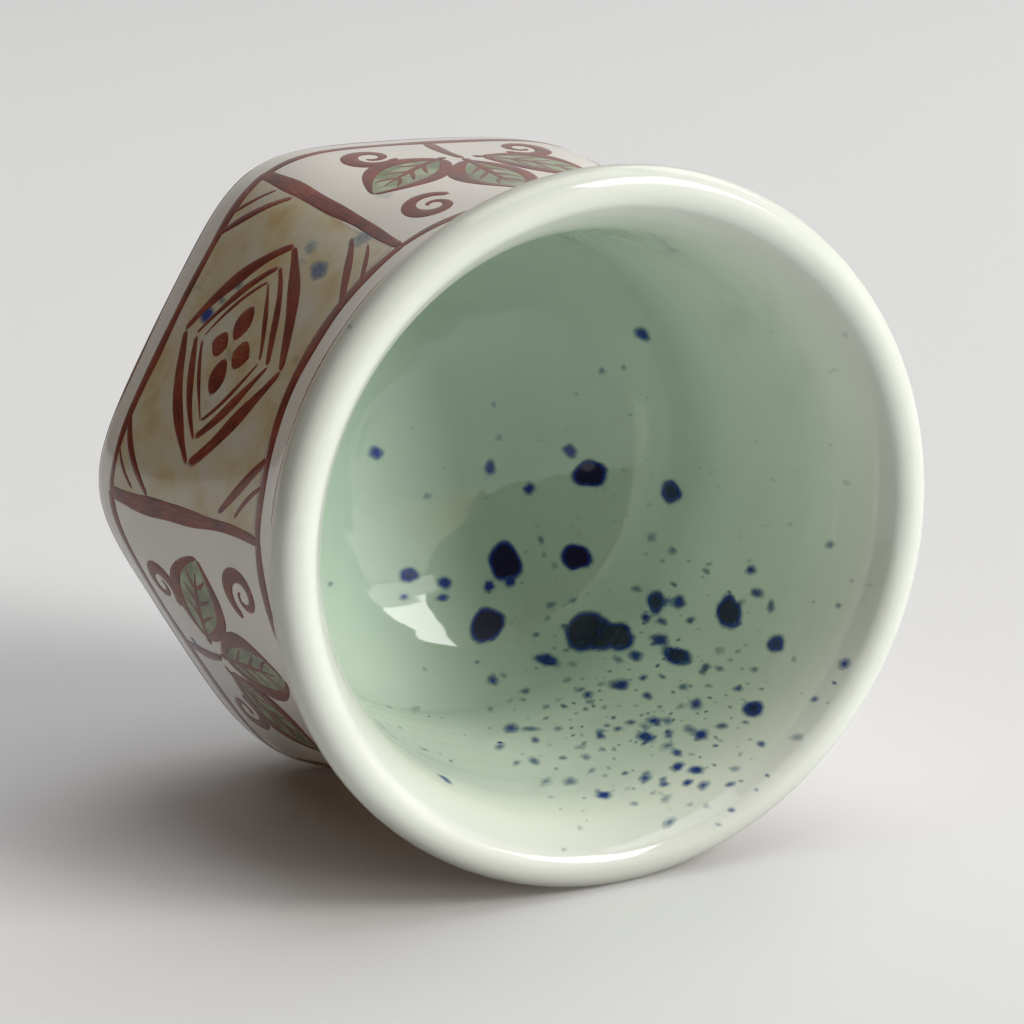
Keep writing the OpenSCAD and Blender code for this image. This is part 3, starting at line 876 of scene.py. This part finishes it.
# Cobalt: splashes flicked into the wet glaze, read off the photo as x, y, width, height, turn, strength
splashes = {
    "main": [
        (584, 631, 34, 38, 20, 1), (599, 635, 34, 29, 8, 1), (616, 636, 38, 27, 4, 1),
        (487, 625, 32, 34, 0, 1), (505, 562, 33, 36, 20, 1), (510, 581, 15, 15, 0, 1),
        (489, 586, 15, 15, 0, 1), (576, 557, 28, 28, 0, 1), (590, 474, 31, 29, 0, 1),
        (570, 451, 18, 16, 40, 0.8), (671, 492, 24, 22, 20, 1), (729, 612, 24, 36, 8, 1),
        (656, 602, 20, 25, 20, 1), (646, 618, 14, 14, 0, 0.9), (679, 602, 18, 16, 0, 0.8),
        (660, 640, 26, 14, 10, 0.9), (677, 656, 30, 20, 20, 1), (547, 660, 26, 16, 10, 0.9),
        (493, 680, 16, 14, 0, 0.7),
    ],
    "small": [
        (529, 489, 15, 15, 0, 0.9), (490, 468, 14, 18, 0, 1), (376, 453, 17, 17, 0, 0.7),
        (427, 496, 12, 12, 0, 0.4), (409, 575, 20, 18, 0, 1), (404, 597, 14, 9, 0, 0.8),
        (445, 583, 17, 15, 0, 1), (443, 598, 18, 10, 0, 0.9), (642, 334, 20, 15, 25, 0.9),
        (602, 371, 11, 10, 0, 0.6), (624, 367, 9, 9, 0, 0.4), (577, 394, 7, 7, 0, 0.4),
        (494, 405, 8, 8, 0, 0.6), (499, 438, 10, 10, 0, 0.4), (751, 570, 13, 14, 0, 0.9),
        (757, 593, 17, 13, 0, 0.8), (771, 606, 10, 18, 10, 0.7), (776, 644, 19, 20, 0, 1),
        (794, 659, 8, 8, 0, 0.5), (652, 537, 11, 16, 30, 0.5), (672, 551, 12, 12, 0, 0.5),
        (646, 554, 8, 8, 0, 0.4), (621, 685, 20, 14, 0, 1), (753, 709, 22, 19, 0, 1),
        (701, 735, 17, 15, 0, 0.9), (646, 737, 24, 13, 5, 1), (654, 721, 20, 12, 0, 0.8),
        (696, 704, 18, 14, 0, 0.8), (669, 734, 14, 12, 0, 0.7), (696, 770, 22, 10, 0, 1),
        (677, 753, 14, 10, 0, 0.9), (604, 795, 18, 11, 0, 1), (664, 784, 13, 8, 0, 0.9),
        (530, 729, 24, 8, 0, 0.6), (581, 747, 15, 6, 0, 0.5), (445, 779, 20, 5, 35, 0.9),
        (416, 709, 13, 8, 0, 0.35), (830, 545, 11, 11, 0, 0.6), (838, 605, 8, 8, 0, 0.4),
        (847, 483, 10, 10, 0, 0.3), (834, 370, 14, 8, 0, 0.2), (845, 335, 16, 8, 0, 0.2),
        (870, 585, 10, 5, 0, 0.3), (412, 428, 8, 8, 0, 0.3), (330, 584, 8, 8, 0, 0.5),
        (541, 540, 10, 10, 0, 0.6), (544, 555, 8, 8, 0, 0.5), (555, 566, 8, 8, 0, 0.4),
        (580, 690, 16, 8, -10, 0.6), (601, 684, 12, 7, -20, 0.5), (525, 691, 15, 8, -20, 0.6),
        (546, 707, 14, 6, -10, 0.5), (559, 700, 11, 5, -10, 0.4), (590, 702, 14, 7, 0, 0.6),
        (601, 731, 16, 6, 0, 0.6), (618, 729, 15, 8, 0, 0.5), (667, 721, 18, 10, 10, 0.6),
        (704, 671, 10, 14, 30, 0.6), (683, 687, 14, 10, 0, 0.5), (692, 619, 12, 9, 0, 0.5),
        (580, 828, 10, 8, 40, 0.3), (706, 806, 11, 9, 0, 0.3), (670, 810, 10, 8, 0, 0.25),
        (648, 773, 14, 8, 0, 0.4),
    ],
    "specks": {"count": 420, "middle": (656, 706), "reach": (70, 52),
               "size": (3, 12), "strength": (0.45, 1.1)},
    "haze": {"count": 160, "middle": (640, 600), "reach": (110, 110),
             "size": (3, 6), "strength": (0.2, 0.5)},
    "speckTurn": (-28, 20), "speckStretch": 1.6, "fewLarge": 1.7, "spacing": 0.85,
    "hidden": {"count": 40, "turn": (0.3, 0.75), "size": (0.3 * mm, 1.1 * mm), "strength": (0.3, 0.7)},
    "outside": [
        (207, 315, 16, 22, 20, 0.8), (222, 300, 9, 12, 20, 0.6), (238, 283, 14, 22, 20, 0.45),
        (229, 356, 9, 14, 0, 0.25), (233, 368, 8, 10, 0, 0.3), (206, 403, 10, 12, 0, 0.2),
        (182, 356, 9, 10, 0, 0.2), (198, 288, 10, 14, 20, 0.22), (311, 247, 26, 14, -40, 0.3),
        (319, 270, 20, 26, 20, 0.4), (303, 262, 14, 10, 0, 0.25), (362, 238, 38, 18, -35, 0.25),
        (350, 327, 8, 8, 0, 0.5), (316, 196, 18, 8, -10, 0.25), (296, 360, 9, 12, 10, 0.25),
        (416, 163, 14, 6, 0, 0.3), (385, 196, 24, 8, -10, 0.2),
    ],
    "round": [  # turn, rise, size in mm
        (0.58, 0.20, 1.2), (0.66, 0.56, 1.6), (0.78, 0.36, 1.2), (0.92, 0.64, 1.6), (0.05, 0.42, 1.2),
        (0.10, 0.76, 1.4), (0.61, 0.82, 0.8), (0.84, 0.86, 1), (0.96, 0.28, 0.7),
    ],
    "roundStrength": 0.7, "roundSoft": 0.6,
    "detail": {"main": (6, 36, 0.1), "small": (4, 22, 0.08), "specks": (2, 9, 0.1), "outside": (5, 22, 0.1),
               "round": (3, 16, 0.1)},  # rings, steps, wobble of the edge
    "lift": 0.016 * mm, "liftOut": 0.02 * mm, "sunk": 0.03 * mm, "edgeSunk": 0.004 * mm, "widest": 9 * mm,
    "seed": 5, "paintedShare": 0.61, "fullSize": 28, "leastLoad": 0.28, "blur": 8.5,
}
splashDraw = random.Random(splashes["seed"])


def meltDrop(tree, place, ways, strength, rings, steps, lift, soft):
    # rays from one place, one for the middle and then ring by ring, each point lifted off the glaze
    points, normals, thick = [], [], []
    for i, way in enumerate(ways):
        spot, normal, _, _ = tree.ray_cast(place, way)
        if spot is None:
            return None
        normals.append(-normal if normal.dot(way) > 0 else normal)
        share = 0 if i == 0 else ((i - 1) // steps + 1) / rings
        points.append(spot + normals[i] * (lift * (1 - share ** 4) - splashes["edgeSunk"] * share ** 4))
        thick.append(ease(min(1, (1 - share) / soft)) * strength)
    if max((p - points[0]).length for p in points) > splashes["widest"]:
        return None
    low = len(points)
    points.append(points[0] - normals[0] * splashes["sunk"])
    thick.append(0)
    faces = fanFaces(1, 0, steps, True) + ringFaces(rings, steps, 1) + fanFaces(low - steps, low, steps)
    return points, faces, thick


def wobble(steps, amount):
    phases = [splashDraw.uniform(0, 6.28) for _ in range(4)]
    turns = np.linspace(0, 2 * np.pi, steps, endpoint=False)
    wave = sum(np.sin((k + 2) * turns + phases[k]) / (k + 1) for k in range(4))
    return turns, 1 + amount * wave


def photoDrop(tree, splash, kind, lift):
    x, y, width, height, turn, strength = splash
    rings, steps, amount = splashes["detail"][kind]
    turns, edge = wobble(steps, amount)
    lean = math.radians(turn)
    ways = [pixelRay(x, y)]
    for ring in range(1, rings + 1):
        share = splashes["paintedShare"] * ring / rings
        for a, e in zip(turns, edge):
            # the painted edge lies a little outside the dark part that was measured
            across = width * share * e * math.cos(a)
            down = height * share * e * math.sin(a)
            ways.append(pixelRay(x + across * math.cos(lean) - down * math.sin(lean),
                                 y + across * math.sin(lean) + down * math.cos(lean)))
    # a small drop carries less colour than a large one
    fullness = math.sqrt(width * height) / splashes["fullSize"]
    load = strength * min(1, splashes["leastLoad"] + (1 - splashes["leastLoad"]) * fullness)
    soft = min(1, splashes["blur"] / (splashes["paintedShare"] * min(width, height)))
    return meltDrop(tree, cameraPlace, ways, load, rings, steps, lift, soft)


def roundDrop(tree, turn, height, size, strength, inward):
    # a drop at a turn about the axis and a height, seen from the axis or from outside
    rings, steps, amount = splashes["detail"]["round"]
    angle = 2 * math.pi * turn
    way = Vector((math.cos(angle), math.sin(angle), 0))
    place = Vector((0, 0, height)) if inward else Vector((0, 0, height)) + way * 2 * cup["lipR"]
    aim = way if inward else -way
    reach = cup["throatR"] if inward else 2 * cup["lipR"] - cup["flatR"]
    turns, edge = wobble(steps, amount)
    ways = [aim]
    for ring in range(1, rings + 1):
        for a, e in zip(turns, edge):
            spread = size / 2 * e * ring / rings
            aside = Vector((-math.sin(angle), math.cos(angle), 0)) * spread * math.cos(a)
            ways.append((aim * reach + aside + Vector((0, 0, 1)) * spread * math.sin(a)).normalized())
    return meltDrop(tree, place, ways, strength, rings, steps, splashes["lift"], splashes["roundSoft"])


def scatter(settings):
    # the flick of the brush fans the finest specks over the lower right of the well, none on another
    drops, placed = [], []
    small, large = settings["size"]
    for _ in range(settings["count"]):
        x = splashDraw.gauss(settings["middle"][0], settings["reach"][0])
        y = splashDraw.gauss(settings["middle"][1], settings["reach"][1])
        size = small + (large - small) * splashDraw.random() ** splashes["fewLarge"]
        turn = splashDraw.uniform(*splashes["speckTurn"])
        strength = splashDraw.uniform(*settings["strength"])
        if any(math.hypot(x - a, y - b) < splashes["spacing"] * (size + c) for a, b, c in placed):
            continue
        placed.append((x, y, size))
        speck = (x, y, size * splashes["speckStretch"], size, turn, strength)
        drops.append(photoDrop(innerTree, speck, "specks", splashes["lift"]))
    return drops


def insideDrops():
    drops = [photoDrop(innerTree, splash, kind, splashes["lift"])
             for kind in ("main", "small") for splash in splashes[kind]]
    drops += scatter(splashes["specks"]) + scatter(splashes["haze"])
    hidden = splashes["hidden"]  # a few specks on the wall that the photo hides
    for _ in range(hidden["count"]):
        turn = splashDraw.uniform(*hidden["turn"])
        height = splashDraw.uniform(cup["bellyZ"], cup["neckZ"])
        size = splashDraw.uniform(*hidden["size"])
        strength = splashDraw.uniform(*hidden["strength"])
        drops.append(roundDrop(innerTree, turn, height, size, strength, True))
    return [drop for drop in drops if drop]


def outsideDrops():
    drops = [photoDrop(outerTree, splash, "outside", splashes["liftOut"]) for splash in splashes["outside"]]
    for turn, rise, size in splashes["round"]:
        height = cup["wideZ"] + (cup["neckZ"] - cup["wideZ"]) * rise
        drops.append(roundDrop(outerTree, turn, height, size * mm, splashes["roundStrength"], False))
    return [drop for drop in drops if drop]


cobaltMaterial = cobaltBlue()
for name, drops, node, slot in (
        ("cobalt_splashes", insideDrops(), "cobalt_drops_inside", "cobalt_inside"),
        ("cobalt_drops", outsideDrops(), "cobalt_drops_outside", "cobalt_outside")):
    points, faces, thick = joinParts(drops)
    makePiece(name, points, faces, cobaltMaterial, node, thick=thick)
print("cobalt done")

# Stage: a pale seamless table that the cup lies on, one-sided so that the cup can be seen from below
stage = {"size": 3.0, "colour": "#e9ebee", "roughness": 0.6, "ior": 1.4, "underlit": 12 * mm}


def paleTable():
    material, tree = newMaterial("paleTable")
    facing = addNode(tree, "NewGeometry")
    table = addNode(tree, "BsdfPrincipled", {"Base Color": hexColour(stage["colour"]),
                                             "Roughness": stage["roughness"], "IOR": stage["ior"]})
    gone = addNode(tree, "BsdfTransparent")
    # light gets in under the side that lies on the table, so that it isn't black when seen from below
    path = addNode(tree, "LightPath")
    near = addNode(tree, "Math", {"operation": "LESS_THAN", 1: stage["underlit"]}, {0: (path, "Ray Length")})
    lit = addNode(tree, "Math", {"operation": "MAXIMUM"},
                  {0: (path, "Is Diffuse Ray"), 1: (path, "Is Shadow Ray")})
    under = addNode(tree, "Math", {"operation": "MULTIPLY"}, {0: near, 1: lit})
    away = addNode(tree, "Math", {"operation": "MAXIMUM"}, {0: (facing, "Backfacing"), 1: under})
    pick = addNode(tree, "MixShader", None, {0: away, 1: table, 2: gone})
    addNode(tree, "OutputMaterial", None, {"Surface": pick})
    return material


lowest = min(Vector(p).dot(floorUp) for p in outside.reshape(-1, 3))
floorPlace = lipTouch + floorUp * (lowest - lipTouch.dot(floorUp))
reach = stage["size"] / 2
corners = [floorPlace + photoRight * x + toCamera * y for x, y in
           ((-reach, -reach), (-reach, reach), (reach, reach), (reach, -reach))]
floorMesh = bpy.data.meshes.new("table")
floorMesh.from_pydata([tuple(c) for c in corners], [], [(0, 1, 2, 3)])
floorMesh.materials.append(paleTable())
floor = bpy.data.objects.new("table", floorMesh)
bpy.context.scene.collection.objects.link(floor)
if floorMesh.polygons[0].normal.dot(floorUp) < 0:
    floorMesh.flip_normals()

# Light: a tall soft window to the right, weaker light from behind it and from above
# turn goes from the photo's right towards the camera, level is how bright a white face turned to it gets
lights = {
    "window": {"turn": 22, "rise": 33, "far": 4, "size": (1.8, 1.9), "level": 0.45,
               "colour": "#fffaf2", "gloss": False},
    "lowWall": {"turn": 27, "rise": 8, "far": 4, "size": (0.9, 0.9), "level": 0.45,
                "colour": "#fffdf8", "gloss": False},
    "backWindow": {"turn": -55, "rise": 42, "far": 5, "size": (3.0, 2.0), "level": 0.1,
                   "colour": "#ffffff", "gloss": True},
    "ceiling": {"turn": -30, "rise": 78, "far": 4, "size": (2.8, 2.8), "level": 0.18,
                "colour": "#ffffff", "gloss": True},
}


def roomWay(turn, rise):
    turn, rise = math.radians(turn), math.radians(rise)
    level = photoRight * math.cos(turn) + toCamera * math.sin(turn)
    return level * math.cos(rise) + floorUp * math.sin(rise)


def areaLight(name, settings):
    data = bpy.data.lights.new(name, "AREA")
    data.shape = "RECTANGLE"
    data.size, data.size_y = settings["size"]
    data.energy = 4 * math.pi * settings["level"] * settings["far"] ** 2
    data.color = hexColour(settings["colour"])[:3]
    lamp = bpy.data.objects.new(name, data)
    bpy.context.scene.collection.objects.link(lamp)
    back = roomWay(settings["turn"], settings["rise"])
    across = floorUp.cross(back).normalized()
    lamp.matrix_world = standing(across, back.cross(across), back, lipTouch + back * settings["far"])
    lamp.visible_glossy = settings["gloss"]


for lightName, settings in lights.items():
    areaLight(lightName, settings)

# Room: pale on the window side and dim on the camera's, a little brighter where the glaze mirrors it
# the view itself sees a pale backdrop
room = {"seen": "#dcdddd", "pale": 0.4, "dim": 0.07, "mirrored": 0.6, "paleTurn": -45, "paleRise": 25,
        "fade": (-0.1, 0.5), "tintStop": 0.6, "paleColour": "#faf9f6", "dimColour": "#f2c8a2"}
# panes and curtain that the glaze mirrors: limits of turn and rise in degrees, lean of the sides, brightness
panes = {
    "curtain": {"turn": (-5, 53), "rise": (-1, 15), "lean": 1.1, "level": 1.1},
    "veiledPane": {"turn": (8, 40), "rise": (15.5, 21.5), "lean": 0, "level": 2.4},
    "openPane": {"turn": (8, 36), "rise": (21.5, 46), "lean": 0, "level": 9},
}


def paleRoom():
    world = bpy.data.worlds.new("paleRoom")
    world.use_nodes = True
    tree = world.node_tree
    tree.nodes.clear()
    path = addNode(tree, "LightPath")
    place = addNode(tree, "TexCoord")
    ways = (toCamera, photoRight, floorUp, roomWay(room["paleTurn"], room["paleRise"]))
    dots = [addNode(tree, "VectorMath", {"operation": "DOT_PRODUCT", 1: way}, {0: (place, "Generated")})
            for way in ways]
    toward, right, up, toPale = [(dot, "Value") for dot in dots]
    fade = addNode(tree, "MapRange", {"From Min": room["fade"][0], "From Max": room["fade"][1],
                                      "interpolation_type": "SMOOTHSTEP"}, {"Value": toPale})
    tint = addNode(tree, "ValToRGB", None, {"Fac": fade})
    setStops(tint, [(0, room["dimColour"]), (room["tintStop"], room["paleColour"])])
    strength = addNode(tree, "MapRange", {"To Min": room["dim"], "To Max": room["pale"]}, {"Value": fade})
    extra = addNode(tree, "Math", {"operation": "MULTIPLY_ADD", 1: room["mirrored"], 2: 1.0},
                    {0: (path, "Is Glossy Ray")})
    level = addNode(tree, "Math", {"operation": "MULTIPLY"}, {0: strength, 1: extra})
    turnWay = addNode(tree, "Math", {"operation": "ARCTAN2"}, {0: toward, 1: right})
    riseWay = addNode(tree, "Math", {"operation": "ARCSINE"}, {0: up})
    for pane in panes.values():
        turn, rise = np.radians(pane["turn"]), np.radians(pane["rise"])
        leaned = addNode(tree, "Math", {"operation": "MULTIPLY_ADD", 1: pane["lean"]},
                         {0: riseWay, 2: turnWay})
        inTurn = addNode(tree, "Math", {"operation": "COMPARE", 1: turn.mean(), 2: np.ptp(turn) / 2},
                         {0: leaned})
        inRise = addNode(tree, "Math", {"operation": "COMPARE", 1: rise.mean(), 2: np.ptp(rise) / 2},
                         {0: riseWay})
        inPane = addNode(tree, "Math", {"operation": "MULTIPLY"}, {0: inTurn, 1: inRise})
        mirrored = addNode(tree, "Math", {"operation": "MULTIPLY"}, {0: inPane, 1: (path, "Is Glossy Ray")})
        level = addNode(tree, "Math", {"operation": "MULTIPLY_ADD", 1: pane["level"]},
                        {0: mirrored, 2: level})
    around = addNode(tree, "Background", None, {"Color": tint, "Strength": level})
    backdrop = addNode(tree, "Background", {"Color": hexColour(room["seen"]), "Strength": 1})
    seen = addNode(tree, "Math", {"operation": "MAXIMUM"},
                   {0: (path, "Is Camera Ray"), 1: (path, "Is Transmission Ray")})
    pick = addNode(tree, "MixShader", None, {0: seen, 1: around, 2: backdrop})
    addNode(tree, "OutputWorld", None, {"Surface": pick})
    return world


bpy.context.scene.world = paleRoom()
bpy.context.scene.view_settings.view_transform = "Standard"
print("stage and light set")
